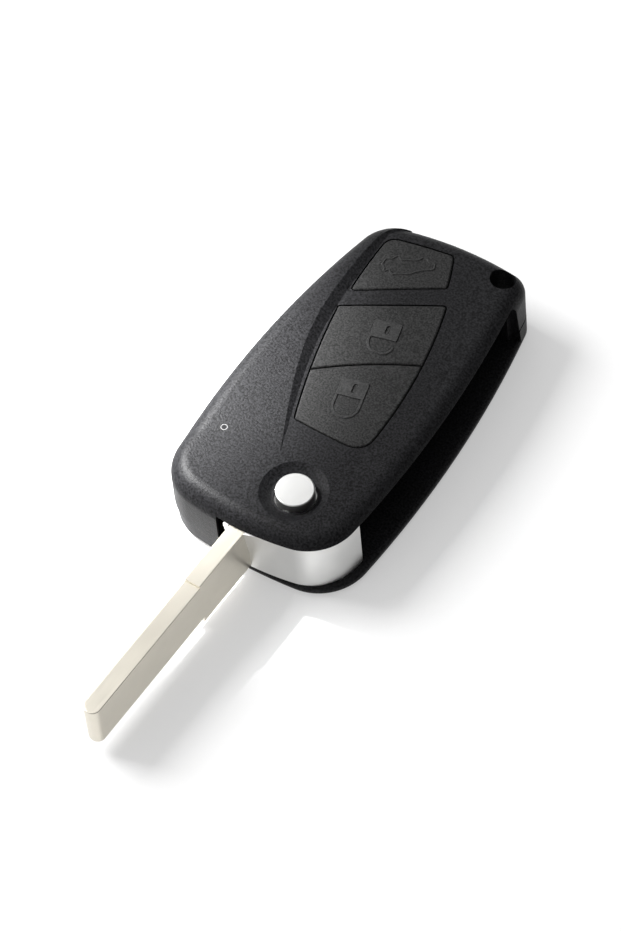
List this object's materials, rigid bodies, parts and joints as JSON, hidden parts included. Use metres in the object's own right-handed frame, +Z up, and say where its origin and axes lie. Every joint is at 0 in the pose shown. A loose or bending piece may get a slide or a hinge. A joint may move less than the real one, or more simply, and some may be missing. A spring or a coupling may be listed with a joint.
{
  "type": "flip key remote shell",
  "caption": "Flip key fob with a dark bowed case, three soft keys, a silver release button and an uncut blade on a sprung pivot that folds into the case.",
  "frame": {"origin": "on the pivot axis of the blade, at the flat back face", "axes": "+Z up through the keys, +Y from the pivot towards the key ring end, the open blade points along -Y, the folded blade lies on the +X side"},
  "size_m": [0.0365, 0.1073, 0.0155],
  "materials": {
    "shell": "fine satin grain",
    "keys": "matte",
    "silver": "satin silver",
    "blade": "fine drawn",
    "steel": "drawn wire",
    "cup": "moulded",
    "board": "solder mask",
    "chip": "moulded",
    "cell": "satin",
    "contact": "rolled strip",
    "lamp": "clear moulded",
    "lens": "clear moulded"
  },
  "bodies": {
    "case": {"top_shell": "shell", "bottom_shell": "shell", "case_screws": "steel", "spring_cup": "cup", "flip_spring": "steel", "circuit_board": "board", "trunk_switch": "chip", "unlock_switch": "chip", "lock_switch": "chip", "coin_cell": "cell", "cell_contact_top": "contact", "cell_contact_side": "contact", "status_led": "lamp", "status_lens": "lens", "transponder_chip": "chip", "microchip": "chip", "crystal": "cell"},
    "blade": {"blade_head": "silver", "key_blade": "blade", "blade_pin": "steel"},
    "release": {"release_button": "silver"},
    "trunk_key": {"trunk_button": "keys"},
    "unlock_key": {"unlock_button": "keys"},
    "lock_key": {"lock_button": "keys"}
  },
  "joints": [
    {"name": "blade_flip", "type": "hinge", "parent": "case", "child": "blade", "pos_m": [0, 0, 0.0075], "axis": [0, 0, 1], "range_deg": [0, 180], "stiffness_Nm_per_rad": 0.02, "springref_deg": -45.84},
    {"name": "release_press", "type": "slide", "parent": "case", "child": "release", "axis": [0, 0, -1], "range_m": [0, 0.0018], "stiffness_N_per_m": 1200, "springref_m": -0.001, "deforming": ["flip_spring"]},
    {"name": "trunk_press", "type": "slide", "parent": "case", "child": "trunk_key", "axis": [0, 0, -1], "range_m": [0, 0.0004], "stiffness_N_per_m": 2000, "springref_m": -0.0003},
    {"name": "unlock_press", "type": "slide", "parent": "case", "child": "unlock_key", "axis": [0, 0, -1], "range_m": [0, 0.0004], "stiffness_N_per_m": 2000, "springref_m": -0.0003},
    {"name": "lock_press", "type": "slide", "parent": "case", "child": "lock_key", "axis": [0, 0, -1], "range_m": [0, 0.0004], "stiffness_N_per_m": 2000, "springref_m": -0.0003}
  ]
}
